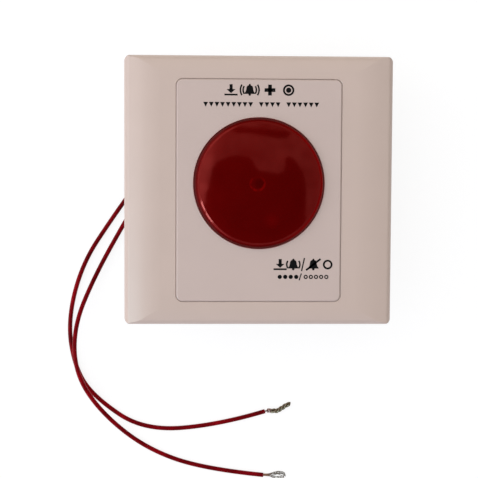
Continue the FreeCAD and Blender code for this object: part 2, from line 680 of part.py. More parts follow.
def end_direction(route):
    return (V(*route[-1]) - V(*route[-2])).normalize()


def tinned_end(route):
    """The tinned conductor: straight out of the insulation, then two slight bends."""
    points = [V(*route[-1])]
    points.append(points[0] + end_direction(route) * TINNED_LEAD)
    for dx, dy in TINNED_STEPS:
        points.append(points[-1] + V(dx, dy, 0))
    return tube(tangent_wire(points, [0, TINNED_BEND, TINNED_BEND, 0]), TINNED_DIAMETER)


def stripped_end(route):
    """Loose strands that fan out flat from a short neck."""
    start = V(*route[-1])
    along = end_direction(route)
    neck = Part.makeCylinder(TINNED_DIAMETER / 2, STRAND_NECK, start, along)
    root = start + along * (STRAND_NECK - STRAND_DIAMETER)
    strands = []
    for angle in STRAND_ANGLES:
        direction = FreeCAD.Rotation(UP, angle).multVec(along)
        strands.append(Part.makeCylinder(STRAND_DIAMETER / 2, STRAND_LENGTH, root, direction))
    return joined(neck, *strands)


def build():
    os.makedirs("parts", exist_ok=True)
    export("trim_frame", trim_frame())
    export("module_panel", module_panel())
    export("base_plate", base_plate())
    export("rear_cover", rear_cover())
    export("cover_screws", Part.makeCompound([cover_screw(spot) for spot in SCREW_SPOTS]))
    export("button_cap", button_cap())
    export("switch_body", switch_body())
    export("switch_plunger", switch_plunger())
    export("switch_pins", switch_pins())
    export("reflector_tray", reflector_tray())
    export("circuit_board", circuit_board())
    for number, spot in enumerate(led_spots(), 1):
        export(f"led_{number}", led(spot))
    for number, y in enumerate(DIODE_ROWS, 1):
        export(f"diode_{number}", diode(y))
    for number, y in enumerate(RESISTOR_ROWS, 1):
        export(f"resistor_{number}", resistor(y))
    export("capacitor", capacitor())
    export("lead_joints", Part.makeCompound([lead_joint(ROUTE_A[0]), lead_joint(ROUTE_B[0])]))
    export("wire_a", lead("wire_a", ROUTE_A))
    export("wire_b", lead("wire_b", ROUTE_B))
    export("tinned_end_a", tinned_end(ROUTE_A))
    export("stripped_end_b", stripped_end(ROUTE_B))


build()
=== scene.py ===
import math
import random

import bpy
from bpy.props import FloatProperty, FloatVectorProperty, PointerProperty
from mathutils import Matrix, Vector


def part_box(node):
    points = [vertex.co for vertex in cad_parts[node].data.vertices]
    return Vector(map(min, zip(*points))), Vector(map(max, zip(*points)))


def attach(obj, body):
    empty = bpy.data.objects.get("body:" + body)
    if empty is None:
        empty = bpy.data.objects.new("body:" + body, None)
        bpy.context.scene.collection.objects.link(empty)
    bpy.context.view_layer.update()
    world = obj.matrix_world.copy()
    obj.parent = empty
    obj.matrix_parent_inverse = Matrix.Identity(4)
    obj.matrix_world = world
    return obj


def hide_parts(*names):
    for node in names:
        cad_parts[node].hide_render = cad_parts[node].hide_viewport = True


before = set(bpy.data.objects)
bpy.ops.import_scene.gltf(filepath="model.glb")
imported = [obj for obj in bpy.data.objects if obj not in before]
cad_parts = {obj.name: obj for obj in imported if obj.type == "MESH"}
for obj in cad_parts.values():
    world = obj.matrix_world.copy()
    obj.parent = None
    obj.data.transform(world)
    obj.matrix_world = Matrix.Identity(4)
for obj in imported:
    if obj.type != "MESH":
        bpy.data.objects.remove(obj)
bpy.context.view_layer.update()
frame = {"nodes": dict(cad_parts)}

# The finishes, leads and print of an emergency call button, laid out as an add-on and run as a script.
# Blender's lengths are metres, and MM turns the millimetres that the sizes are written in.

bl_info = {
    "name": "Emergency call button finishes",
    "version": (1, 0, 0),
    "blender": (4, 5, 0),
    "location": "3D View > Sidebar > Call button",
    "description": "Dresses the call button's frame with its plastics, leads, print and studio",
    "category": "Object",
}

MM = 0.001
PANEL_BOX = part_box("module_panel")
CAP_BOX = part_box("button_cap")
PANEL_FRONT = PANEL_BOX[1].z
CAP_CENTRE = Vector(((CAP_BOX[0].x + CAP_BOX[1].x) / 2, (CAP_BOX[0].y + CAP_BOX[1].y) / 2, 0))

# Routes of the two leads, in millimetres, from the solder joint to the bare end, eased to the photograph
ROUTE_A = (
    (-20.0, 9.0, 5.0),
    (-29.0, 9.0, 5.0),
    (-38.1, 4.5, 1.8),
    (-48.25, -9.6, 0.75),
    (-58.65, -25.5, 0.75),
    (-63.5, -45.0, 0.75),
    (-61.0, -61.0, 0.75),
    (-54.5, -71.0, 0.75),
    (-37.5, -82.65, 0.75),
    (-11.5, -80.5, 0.75),
    (3.8, -75.9, 0.75),
)
ROUTE_B = (
    (-20.0, 4.0, 5.0),
    (-29.0, 4.0, 5.0),
    (-38.0, -1.5, 1.8),
    (-43.85, -10.5, 0.75),
    (-54.3, -29.5, 1.6),
    (-60.9, -46.0, 5.25),
    (-60.5, -62.0, 5.25),
    (-52.0, -76.0, 2.6),
    (-36.5, -89.0, 0.75),
    (-16.5, -96.0, 0.75),
    (3.3, -98.1, 0.75),
)

# The first lead's conductor past its insulation, in millimetres: thin neck, knot of strands, twisted end
NECK_ROUTE = (
    (3.2, -75.95, 0.75),
    (4.0, -75.87, 0.75),
    (5.2, -75.7, 0.75),
)
KNOT_ROUTE = (
    (4.65, -75.72, 0.75),
    (5.2, -75.62, 0.75),
    (5.75, -75.68, 0.75),
)
TINNED_ROUTE = (
    (5.85, -75.75, 0.82),
    (6.9, -75.8, 0.82),
    (8.2, -75.75, 0.82),
    (9.1, -75.1, 0.82),
    (10.3, -74.4, 0.82),
    (11.4, -73.55, 0.82),
    (12.5, -73.5, 0.82),
)

# Bundles of strands in the twisted and tinned end, their turns about each other, the thickness of its core,
# how far from the middle each bundle winds, and its thickness
TWIST_BUNDLES = 3
TWIST_TURNS = 1.6
TINNED_CORE = 0.5 * MM
TWIST_RADIUS = 0.44 * MM
BUNDLE_DIAMETER = 0.76 * MM

# Strands of the neck and of the knot: how many, how far from the middle they wind, and their turns
NECK_STRANDS = (4, 0.18 * MM, 0.5)
KNOT_STRANDS = (3, 0.48 * MM, 0.8)
KNOT_DIAMETER = 0.56 * MM

# The second lead's bare strands, in millimetres: their neck, and each loose bundle's count and route
LOOSE_NECK = ((3.1, -98.05, 0.75), (4.0, -98.05, 0.75))
LOOSE_BUNDLES = (
    (6, ((5.4, -97.95, 0.6), (6.5, -97.6, 0.5), (7.5, -97.35, 0.5), (8.8, -97.3, 0.45),
         (9.9, -97.35, 0.4), (10.7, -97.8, 0.4), (11.05, -98.5, 0.4))),
    (2, ((5.4, -98.1, 0.6), (7.0, -98.05, 0.6), (8.3, -97.75, 0.7), (9.5, -98.0, 0.6),
         (10.2, -98.35, 0.5), (10.7, -98.8, 0.4))),
    (4, ((5.0, -98.3, 0.6), (5.9, -98.5, 0.5), (6.7, -98.85, 0.5), (7.7, -99.05, 0.45),
         (8.7, -99.1, 0.4), (9.6, -99.05, 0.4), (10.4, -98.75, 0.4), (10.9, -98.3, 0.4))),
)
# How the strands lie in their neck and bundles, in millimetres: half the neck's width and height, the turn
# from one point to the next in radians, half a bundle's width at its start, its growth per point and its
# most, half its height, and how far a strand strays along it
NECK_SPREAD = (0.34, 0.22)
STRAND_TURN = 0.7
BUNDLE_SPREAD = (0.22, 0.08, 0.42)
BUNDLE_HEIGHT = 0.2
STRAND_STRAY = 0.15
STRAND_SEED = 4

# The printed signs on the panel's front, in millimetres: the upper row's middle, and its signs to the side
PRINT_HEIGHT = 3.5
PRINT_TOP = (0.0, 31.85)
TOP_PRESS = -9.0
TOP_BELL = -3.1
TOP_PLUS = 3.3
TOP_TARGET = 9.2
# A row of small triangles under it: its start, the count in each group, their size and pitch, and the
# groups' gap
POINTER_START = (-17.0, 27.25)
POINTER_GROUPS = (9, 4, 6)
POINTER_SIZE = 1.5
POINTER_PITCH = 1.775
POINTER_GAP = 1.6
# The lower row's middle, and its signs to the side
PRINT_LOW = (14.2, -23.4)
LOW_PRESS = -7.3
LOW_BELL = -3.1
LOW_MUTED_BELL = 3.3
LOW_RING = 7.9
# A row of small discs, a slash and small rings under it: start, pitch, count and radius, or foot and head
PRINT_ROW_DROP = 3.95
ROW_DISCS = (-7.4, 1.75, 4, 0.68)
ROW_SLASH = (-1.2, -0.5)
ROW_RINGS = (0.9, 1.65, 5, 0.5)
# The arcs of sound at a bell's sides, with half their angle in degrees, then sizes and strokes of other signs
SOUND_TOP = (2.1, 2.95)
SOUND_LOW = (2.1,)
SOUND_ANGLE = 34
SOUND_STROKE = 0.5
PLUS_REACH = 1.7
PLUS_STROKE = 1.15
TARGET_RADIUS = 1.5
TARGET_SPOT = 0.85
CLEAR_RADIUS = 1.25
RING_STROKE = 0.6
MUTE_REACH = (2.3, 1.8)
SLASH_REACH = (0.45, 2.1)
SLASH_STROKE = 0.4
ROW_SLASH_REACH = 1.1
ROW_SLASH_STROKE = 0.35
ROW_RING_STROKE = 0.36

# Camera, found by fitting the plate's four corners and the panel's groove to the photograph
CAMERA_PLACE = (-18.713, 5.479, 380.0)
CAMERA_AIM = (-6.253, -15.307, 25.0)
CAMERA_ROLL = 0.276
CAMERA_LENS = 84.214

# The cap's tint from its middle out, with painted light in it: lighter towards the rim as painted
# reflection, a painted highlight line just inside the rim and painted shade at its very edge. The reach of
# its rings, and each one's share of it and lightness
CAP_REACH = 22 * MM
CAP_PAINTED_RINGS = ((0.0, 0.2), (0.05, 0.25), (0.085, 0.5), (0.5, 0.5), (0.68, 0.52), (0.8, 0.6), (0.87, 0.66),
             (0.892, 0.88), (0.905, 0.6), (0.922, 0.15))
# The cap's darkest, lightest and brightest tones, as shares of its colour
CAP_TONES = (0.6, 1.6, 2.6)
# Breadth and strength of the clouds in the melt, and breadth and depth of the waves in the polished face
CAP_CLOUDS = (9 * MM, 0.4)
CAP_WAVES = (6 * MM, 0.012 * MM)
# The ring of the boss that shows through: radius and half its breadth, and place
BOSS_RING = (2.2 * MM, 0.35 * MM)
BOSS_PLACE = (-0.65 * MM, 0.0)
# It comes in from the first Y to the second, up to this share, and patches of noise break it: their
# breadth, the noise's values between which it goes from faint to whole, and its faintest share
BOSS_FADE = (2.4 * MM, -1.5 * MM, 0.9)
BOSS_PATCHES = (1.6 * MM, 0.36, 0.48, 0.2)
# A pale spot: place, radius and strength
PALE_SPOT = (4.0 * MM, -11.8 * MM)
PALE_SPOT_SIZE = (3.2 * MM, 0.3)
# A painted highlight along the rolled edge on its right: radius, half its breadth, and the X where it fades
# in
HIGHLIGHT_LINE = (19.85 * MM, 0.45 * MM)
HIGHLIGHT_FADE = (4 * MM, 16 * MM)

# Moulded plastics: breadth and strength of their faint flow clouds, how far their roughness varies with the
# grain, and how far sharp edges are rounded where light falls on them
FLOW_CLOUDS = (14 * MM, 0.03)
PLASTIC_DRIFT = 0.05
EDGE_ROUND = 0.3 * MM
# Painted red bounce light that the cap throws on the edge of its opening: colour, the radii between which it
# fades, and its depth
RIM_RED_BOUNCE = ("#A81F18", 20.82 * MM, 21.0 * MM, 0.3 * MM)

# The leads' insulation: breadth of its scuffs, its darkest and lightest tones, its roughness, and the
# breadth and depth of its ripples. Then how far a metal's roughness varies
SCUFFS = 6 * MM
LEAD_TONES = (0.5, 1.4)
LEAD_ROUGHNESS = (0.28, 0.45)
LEAD_RIPPLES = (0.5 * MM, 0.02 * MM)
METAL_DRIFT = 0.08

# The soft light from all round: its strength, its drift towards the window, and its colours away from and
# towards its cooler side
AIR = 0.86
AIR_DRIFT = 0.66
WINDOW_WAY = (-0.94, 0.34, 0.0)
COOL_WAY = (-0.5, -0.87, 0.0)
WARM_AIR = (1.0, 0.94, 0.81)
COOL_AIR = (1.0, 1.05, 1.24)
WHITE = (1.0, 1.0, 1.0)

# The studio's places and sizes are in millimetres: what its lamps point at, and its main lamp
LAMP_AIM = (0, 0, 20)
KEY_PLACE = (-1050, 250, 620)
KEY_SIZE = (700, 500)
KEY_WATTS = 2.0

# Two panes of a window that only the glossy edge mirrors: place, width and watts
SKY_COLOUR = (0.42, 0.9, 1.0)
WINDOW_PANES = (((-692, -312, 840), 120, 2.6), ((-602, -458, 840), 145, 2.6))
PANE_HEIGHT = 300

# The white table: its size, how far it lies below the part, and its white, and then its lit part and its
# glow where it is seen
TABLE_SIZE = 6000
TABLE_DROP = 0.02
TABLE_WHITE = 0.8
TABLE_LIT = 0.2
TABLE_GLOW = 0.85

# Overhead, for the cap's gloss: a wide pale card, and below it a dark flag with a wavy edge and a dark bar
CARD_HEIGHT = 1000
CARD_OUTLINE = ((-1300, -1300), (1300, -1300), (1300, 1300), (-1300, 1300))
FLAG_HEIGHT = 900
FLAG_OUTLINE = ((-431, -157), (-423, -84), (-397, -48), (-387, 5), (-377, 49), (-366, 127), (-320, 182),
                (-226, 219), (-135, 234), (-51, 220), (-9, 189), (12, 130), (49, 97), (146, 86), (209, 83),
                (254, 96), (269, 161), (267, 209), (301, 233), (350, 209), (398, 153), (437, 97), (462, 26),
                (469, -54), (478, -200), (481, -346), (451, -470), (300, -640), (0, -700), (-300, -640),
                (-440, -400))
BAR_OUTLINE = ((-221, 460), (-193, 490), (-62, 496), (56, 489), (174, 479), (278, 470), (342, 456),
               (311, 411), (214, 388), (145, 403), (-4, 433), (-124, 438))

# Dim walls round the table
WALLS_RADIUS = 1500
WALLS_HEIGHT = 1000

# A low board's place and size, which shades the plate's upper edge
BOARD_PLACE = (0, 260, 36)
BOARD_SIZE = (700, 72)

# Where the overhead card and the walls turn bright towards the window, how strongly mirrors see each cloth
# on its right and on its left, and the breadth of its patches with their faintest and brightest share
CLOTH_WAY = (-1.0, 0.08, 0.0)
CARD_TURN = (380, 480)
WALL_TURN = (760, 980)
CARD_GLOW = (0.78, 2.1)
FLAG_GLOW = (0.03, 0.03)
WALL_GLOW = (0.12, 0.5)
CLOTH_PATCHES = (170, 0.65, 1.35)


def linear(hex_colour):
    """An sRGB hex colour as linear red, green and blue."""
    values = [int(hex_colour[i:i + 2], 16) / 255 for i in (1, 3, 5)]
    return tuple(v / 12.92 if v <= 0.04045 else ((v + 0.055) / 1.055) ** 2.4 for v in values)


def point(millimetres):
    """A place that is given in millimetres, in metres."""
    return Vector(millimetres) * MM


class CallButtonSizes(bpy.types.PropertyGroup):
    """Sizes that a user would change."""
    lead_diameter: FloatProperty(name="Lead diameter", description="Outside of a lead's insulation",
                                 default=1.5 * MM, unit="LENGTH")
    strand_diameter: FloatProperty(name="Strand diameter", description="One bare strand of the stripped end",
                                   default=0.2 * MM, unit="LENGTH")
    ink_thickness: FloatProperty(name="Ink thickness", description="How far the print stands off the panel",
                                 default=0.03 * MM, unit="LENGTH")
    mould_grain: FloatProperty(name="Mould grain", description="Grain of the moulded plastic's texture",
                               default=0.35 * MM, unit="LENGTH")


class CallButtonColours(bpy.types.PropertyGroup):
    """Colours that a user would change."""
    frame: FloatVectorProperty(name="Frame", description="Trim frame plastic", subtype="COLOR",
                               default=linear("#CFBBAF"))
    panel: FloatVectorProperty(name="Panel", description="Inner panel plastic", subtype="COLOR",
                               default=linear("#CDBAB1"))
    button: FloatVectorProperty(name="Button", description="Tinted cap", subtype="COLOR",
                                default=linear("#500101"))
    lead: FloatVectorProperty(name="Lead", description="Insulation of the leads", subtype="COLOR",
                              default=linear("#760109"))
    ink: FloatVectorProperty(name="Ink", description="Print on the panel", subtype="COLOR",
                             default=linear("#0B0909"))


def add_node(tree, kind, settings=None, links=None):
    """Adds a shader node of this kind with its settings, by property or by input, and links sockets to its
    inputs. A Mix node's inputs share names and go by number: 2 and 3 are its numbers, 6 and 7 its colours."""
    node = tree.nodes.new("ShaderNode" + kind)
    for name, value in (settings or {}).items():
        if isinstance(name, str) and name in node.bl_rna.properties:
            setattr(node, name, value)
        else:
            node.inputs[name].default_value = value
    for name, source in (links or {}).items():
        tree.links.new(source, node.inputs[name])
    return node


def new_material(name):
    """A material with an empty node tree and its output node."""
    material = bpy.data.materials.new(name)
    material.use_nodes = True
    material.node_tree.nodes.clear()
    output = add_node(material.node_tree, "OutputMaterial")
    return material, material.node_tree, output


def rgba(colour, gain=1.0):
    """A colour, made lighter or darker, with its alpha."""
    return [channel * gain for channel in colour] + [1.0]


def off_cap_axis(tree, place):
    """A point's place from the cap's axis, the same laid flat, and its distance from the axis."""
    centred = add_node(tree, "Mapping", {"Location": [-CAP_CENTRE.x, -CAP_CENTRE.y, 0]}, {"Vector": place})
    flat = add_node(tree, "VectorMath", {"operation": "MULTIPLY", 1: [1, 1, 0]},
                    {0: centred.outputs["Vector"]})
    radius = add_node(tree, "VectorMath", {"operation": "LENGTH"}, {0: flat.outputs["Vector"]})
    return centred.outputs["Vector"], flat.outputs["Vector"], radius.outputs["Value"]


def plastic(name, colour, roughness, grain, grain_depth, sockets=None, stain_and_painted_bounce=None):
    """Moulded plastic: faint flow clouds in the colour and a fine spark-eroded grain in bump and roughness.
    Its last argument paints the red light that the cap throws on the plastic round it into the colour, as a
    painted bounce: that light's colour, the radii between which it fades, and how deep it reaches below the
    panel's front."""
    material, tree, output = new_material(name)
    place = add_node(tree, "TexCoord").outputs["Object"]
    breadth, drift = FLOW_CLOUDS
    flow = add_node(tree, "TexNoise", {"Scale": 1 / breadth, "Detail": 2.0}, {"Vector": place})
    tint = add_node(tree, "Mix",
                    {"data_type": "RGBA", 6: rgba(colour, 1 - drift), 7: rgba(colour, 1 + drift)},
                    {"Factor": flow.outputs["Fac"]})
    if stain_and_painted_bounce:
        # The cap's red bounce light, painted into the colour round the opening: it fades out between two
        # radii and below the panel's front
        red, inner, outer, reach = stain_and_painted_bounce
        radius = off_cap_axis(tree, place)[2]
        clear = add_node(tree, "MapRange",
                         {"interpolation_type": "SMOOTHSTEP", "From Min": inner, "From Max": outer},
                         {"Value": radius})
        height = add_node(tree, "SeparateXYZ", {}, {"Vector": place})
        deep = add_node(tree, "MapRange",
                        {"From Min": PANEL_FRONT - reach / 2, "From Max": PANEL_FRONT - reach},
                        {"Value": height.outputs["Z"]})
        outside_red_bounce = add_node(tree, "Math", {"operation": "MAXIMUM"},
                         {0: clear.outputs["Result"], 1: deep.outputs["Result"]})
        tint = add_node(tree, "Mix", {"data_type": "RGBA", 6: rgba(linear(red))},
                        {"Factor": outside_red_bounce.outputs["Value"], 7: tint.outputs[2]})
    texture = add_node(tree, "TexNoise", {"Scale": 1 / grain, "Detail": 3.0, "Roughness": 0.6},
                       {"Vector": place})
    rough = add_node(tree, "MapRange",
                     {"To Min": roughness - PLASTIC_DRIFT, "To Max": roughness + PLASTIC_DRIFT},
                     {"Value": texture.outputs["Fac"]})
    edges = add_node(tree, "Bevel", {"samples": 4, "Radius": EDGE_ROUND})
    bump = add_node(tree, "Bump", {"Strength": 1.0, "Distance": grain_depth},
                    {"Height": texture.outputs["Fac"], "Normal": edges.outputs["Normal"]})
    shader = add_node(tree, "BsdfPrincipled", sockets or {},
                      {"Base Color": tint.outputs[2], "Roughness": rough.outputs["Result"],
                       "Normal": bump.outputs["Normal"]})
    tree.links.new(shader.outputs[0], output.inputs["Surface"])
    return material


def tinted_cap_material(colour):
    """Red polycarbonate, moulded and polished: deep colour, a red-tinted gloss from both of its faces, and
    the faint ring of the boss that shows through from behind. Its colour also holds painted light: lighter
    towards the rim as painted reflection, a painted highlight line just inside the rim, painted shade at its
    very edge, and a painted highlight along its edge on the right."""
    material, tree, output = new_material("polycarbonate_red_polished")
    place = add_node(tree, "TexCoord").outputs["Object"]
    centred, flat, radius = off_cap_axis(tree, place)
    across = add_node(tree, "SeparateXYZ", {}, {"Vector": centred})
    # Painted light in rings: lighter towards the rim, a painted highlight line inside it and painted shade at
    # its edge
    share = add_node(tree, "MapRange", {"From Max": CAP_REACH}, {"Value": radius})
    rings = add_node(tree, "ValToRGB", {}, {"Fac": share.outputs["Result"]})
    ramp = rings.color_ramp
    while len(ramp.elements) < len(CAP_PAINTED_RINGS):
        ramp.elements.new(0.5)
    for element, (position, value) in zip(ramp.elements, CAP_PAINTED_RINGS):
        element.position = position
        element.color = (value, value, value, 1)
    breadth, strength = CAP_CLOUDS
    cloud = add_node(tree, "TexNoise", {"Scale": 1 / breadth, "Detail": 3.0}, {"Vector": centred})
    depth = add_node(tree, "Math", {"operation": "MULTIPLY_ADD", 1: strength, 2: -strength / 2},
                     {0: cloud.outputs["Fac"]})

    # The boss's ring, broken and open at its top
    off_boss = add_node(tree, "VectorMath", {"operation": "DISTANCE", 1: (*BOSS_PLACE, 0)}, {0: flat})
    on_ring = add_node(tree, "Math", {"operation": "COMPARE", 1: BOSS_RING[0], 2: BOSS_RING[1]},
                       {0: off_boss.outputs["Value"]})
    start, end, most = BOSS_FADE
    open_top = add_node(tree, "MapRange", {"From Min": start, "From Max": end, "To Max": most},
                        {"Value": across.outputs["Y"]})
    breadth, faint, whole, least = BOSS_PATCHES
    gaps = add_node(tree, "TexNoise", {"Scale": 1 / breadth, "Detail": 0.0}, {"Vector": flat})
    broken = add_node(tree, "MapRange", {"From Min": faint, "From Max": whole, "To Min": least},
                      {"Value": gaps.outputs["Fac"]})
    part_ring = add_node(tree, "Math", {"operation": "MULTIPLY"},
                         {0: on_ring.outputs["Value"], 1: broken.outputs["Result"]})
    boss = add_node(tree, "Math", {"operation": "MULTIPLY"},
                    {0: part_ring.outputs["Value"], 1: open_top.outputs["Result"]})
    clouded = add_node(tree, "Math", {"operation": "ADD"},
                       {0: boss.outputs["Value"], 1: depth.outputs["Value"]})

    # The pale spot, and the tone of all of these together
    off_spot = add_node(tree, "VectorMath", {"operation": "DISTANCE", 1: (*PALE_SPOT, 0)}, {0: flat})
    spot = add_node(tree, "MapRange",
                    {"interpolation_type": "SMOOTHSTEP", "From Max": PALE_SPOT_SIZE[0],
                     "To Min": PALE_SPOT_SIZE[1], "To Max": 0.0}, {"Value": off_spot.outputs["Value"]})
    marks = add_node(tree, "Math", {"operation": "ADD"},
                     {0: clouded.outputs["Value"], 1: spot.outputs["Result"]})
    shade = add_node(tree, "Math", {"operation": "ADD", "use_clamp": True},
                     {0: rings.outputs["Color"], 1: marks.outputs["Value"]})
    dark, light, brightest = CAP_TONES
    tint = add_node(tree, "Mix", {"data_type": "RGBA", 6: rgba(colour, dark), 7: rgba(colour, light)},
                    {"Factor": shade.outputs["Value"]})

    # A painted highlight along the edge on the right, which with half of the boss's ring goes on to the
    # brightest tone
    on_edge = add_node(tree, "Math", {"operation": "COMPARE", 1: HIGHLIGHT_LINE[0], 2: HIGHLIGHT_LINE[1]},
                       {0: radius})
    right_part = add_node(tree, "MapRange", {"From Min": HIGHLIGHT_FADE[0], "From Max": HIGHLIGHT_FADE[1]},
                          {"Value": across.outputs["X"]})
    edge_highlight = add_node(tree, "Math", {"operation": "MULTIPLY"},
                         {0: on_edge.outputs["Value"], 1: right_part.outputs["Result"]})
    bright = add_node(tree, "Math", {"operation": "MULTIPLY_ADD", 1: 0.5},
                      {0: boss.outputs["Value"], 2: edge_highlight.outputs["Value"]})
    tint = add_node(tree, "Mix", {"data_type": "RGBA", 7: rgba(colour, brightest)},
                    {"Factor": bright.outputs["Value"], 6: tint.outputs[2]})
    breadth, height = CAP_WAVES
    wave = add_node(tree, "TexNoise", {"Scale": 1 / breadth, "Detail": 1.0}, {"Vector": place})
    bump = add_node(tree, "Bump", {"Strength": 1.0, "Distance": height}, {"Height": wave.outputs["Fac"]})
    shader = add_node(tree, "BsdfPrincipled",
                      {"Roughness": 0.09, "IOR": 1.585, "Specular Tint": rgba(linear("#FF6A62"))},
                      {"Base Color": tint.outputs[2], "Normal": bump.outputs["Normal"]})
    tree.links.new(shader.outputs[0], output.inputs["Surface"])
    return material


def insulation_material(colour):
    """Extruded PVC insulation: a soft gloss with a red sheen at its sides, and faint ripples and scuffs."""
    material, tree, output = new_material("pvc_red_extruded")
    place = add_node(tree, "TexCoord").outputs["Object"]
    scuff = add_node(tree, "TexNoise", {"Scale": 1 / SCUFFS, "Detail": 4.0}, {"Vector": place})
    worn = add_node(tree, "MapRange", {"From Min": 0.32, "From Max": 0.68}, {"Value": scuff.outputs["Fac"]})
    dark, light = LEAD_TONES
    tint = add_node(tree, "Mix", {"data_type": "RGBA", 6: rgba(colour, dark), 7: rgba(colour, light)},
                    {"Factor": worn.outputs["Result"]})
    rough = add_node(tree, "MapRange", {"To Min": LEAD_ROUGHNESS[0], "To Max": LEAD_ROUGHNESS[1]},
                     {"Value": scuff.outputs["Fac"]})
    breadth, depth = LEAD_RIPPLES
    ripple = add_node(tree, "TexNoise", {"Scale": 1 / breadth, "Detail": 2.0}, {"Vector": place})
    bump = add_node(tree, "Bump", {"Strength": 0.6, "Distance": depth}, {"Height": ripple.outputs["Fac"]})
    shader = add_node(tree, "BsdfPrincipled",
                      {"IOR": 1.53, "Specular IOR Level": 0.25, "Specular Tint": rgba(linear("#FF5A60")),
                       "Sheen Weight": 0.6, "Sheen Roughness": 0.35, "Sheen Tint": rgba(linear("#FF3038"))},
                      {"Base Color": tint.outputs[2], "Roughness": rough.outputs["Result"],
                       "Normal": bump.outputs["Normal"]})
    tree.links.new(shader.outputs[0], output.inputs["Surface"])
    return material


def metal(name, low, high, roughness, patch, grain_depth, worn=None):
    """Metal with two tones in patches, as of flux stains or worn plating, and a fine uneven surface. Worn
    gives the colour under the plating, and between which places along X it goes over into the plating."""
    material, tree, output = new_material(name)
    place = add_node(tree, "TexCoord").outputs["Object"]
    stain_and_painted_bounce = add_node(tree, "TexNoise", {"Scale": 1 / patch, "Detail": 4.0, "Roughness": 0.65},
                     {"Vector": place})
    tint = add_node(tree, "Mix", {"data_type": "RGBA", 6: rgba(low), 7: rgba(high)},
                    {"Factor": stain_and_painted_bounce.outputs["Fac"]})
    rough = add_node(tree, "MapRange",
                     {"To Min": roughness - METAL_DRIFT, "To Max": roughness + METAL_DRIFT},
                     {"Value": stain_and_painted_bounce.outputs["Fac"]})
    bump = add_node(tree, "Bump", {"Strength": 1.0, "Distance": grain_depth},
                    {"Height": stain_and_painted_bounce.outputs["Fac"]})
    if worn:
        under, start, end = worn
        across = add_node(tree, "SeparateXYZ", {}, {"Vector": place})
        plated = add_node(tree, "MapRange", {"From Min": start, "From Max": end},
                          {"Value": across.outputs["X"]})
        tint = add_node(tree, "Mix", {"data_type": "RGBA", 6: rgba(under)},
                        {"Factor": plated.outputs["Result"], 7: tint.outputs[2]})
    shader = add_node(tree, "BsdfPrincipled", {"Metallic": 1.0},
                      {"Base Color": tint.outputs[2], "Roughness": rough.outputs["Result"],
                       "Normal": bump.outputs["Normal"]})
    tree.links.new(shader.outputs[0], output.inputs["Surface"])
    return material


def dress(material, *nodes):
    """Gives CAD nodes their material."""
    for name in nodes:
        slots = frame["nodes"][name].data.materials
        slots.clear()
        slots.append(material)


def deselect():
    bpy.ops.object.select_all(action="DESELECT")


def select_only(*pieces):
    deselect()
    for piece in pieces:
        piece.select_set(True)
    bpy.context.view_layer.objects.active = pieces[-1]


def apply_place(piece):
    """Puts the piece's place into its mesh and leaves its object at the origin."""
    select_only(piece)
    bpy.ops.object.transform_apply(location=True, rotation=True, scale=True)


def join(name, pieces):
    """Joins pieces into one of this name."""
    select_only(*pieces)
    bpy.ops.object.join()
    piece = bpy.context.object
    piece.name = name
    piece.data.name = name
    apply_place(piece)
    return piece


def finish_piece(piece, material, body):
    """Gives a piece its material and the body that it rides on."""
    piece.data.materials.clear()
    piece.data.materials.append(material)
    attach(piece, body)


def nurbs_line(name, points):
    """A smooth open NURBS line through space with these control points."""
    curve = bpy.data.curves.new(name, "CURVE")
    curve.dimensions = "3D"
    curve.resolution_u = 12
    spline = curve.splines.new("NURBS")
    spline.points.add(len(points) - 1)
    for target, source in zip(spline.points, points):
        target.co = (*source, 1)
    spline.order_u = 3
    spline.use_endpoint_u = True
    line = bpy.data.objects.new(name, curve)
    bpy.context.scene.collection.objects.link(line)
    return line


def line_points(line):
    """The points along a NURBS line, as Blender works them out."""
    mesh = bpy.data.meshes.new_from_object(line)
    places = [v.co.copy() for v in mesh.vertices]
    bpy.data.meshes.remove(mesh)
    return places


def thin_wire(name, points, diameter):
    """A round wire along smooth points, as a mesh."""
    line = nurbs_line(name, points)
    line.data.bevel_depth = diameter / 2
    line.data.bevel_resolution = 3
    line.data.resolution_u = 5
    line.data.use_fill_caps = True
    select_only(line)
    bpy.ops.object.convert(target="MESH")
    return bpy.context.object


def make_lead(name, route, diameter, material):
    """A lead along its route, in place of its plain solid."""
    lead = nurbs_line(name, [point(p) for p in route])
    lead.data.bevel_depth = diameter / 2
    lead.data.bevel_resolution = 7
    lead.data.use_fill_caps = True
    finish_piece(lead, material, "housing")
    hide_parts(name.replace("lead", "wire"))


def helix(path, radius, turns, start):
    """Points that wind about a path at a radius."""
    places = []
    last = len(path) - 1
    for i, centre in enumerate(path):
        along = (path[min(i + 1, last)] - path[max(i - 1, 0)]).normalized()
        side = along.cross(Vector((0, 0, 1))).normalized()
        up = side.cross(along)
        angle = start + 2 * math.pi * turns * i / last
        places.append(centre + side * radius * math.cos(angle) + up * radius * math.sin(angle))
    return places


def guide_points(route):
    """The points of a smooth line through space that is given in millimetres."""
    guide = nurbs_line("guide", [point(p) for p in route])
    places = line_points(guide)
    bpy.data.objects.remove(guide)
    return places


def make_tinned_end():
    """The conductor's end: bundles of strands twisted together and run over with solder."""
    path = guide_points(TINNED_ROUTE)
    pieces = [thin_wire("tinned_core", path[::4] + [path[-1]], TINNED_CORE)]
    for i in range(TWIST_BUNDLES):
        turn = helix(path, TWIST_RADIUS, TWIST_TURNS, 2 * math.pi * i / TWIST_BUNDLES)
        pieces.append(thin_wire("tinned_bundle", turn[:len(turn) - i], BUNDLE_DIAMETER))
    piece = join("tinned_strands", pieces)
    bpy.ops.object.shade_smooth()
    return piece


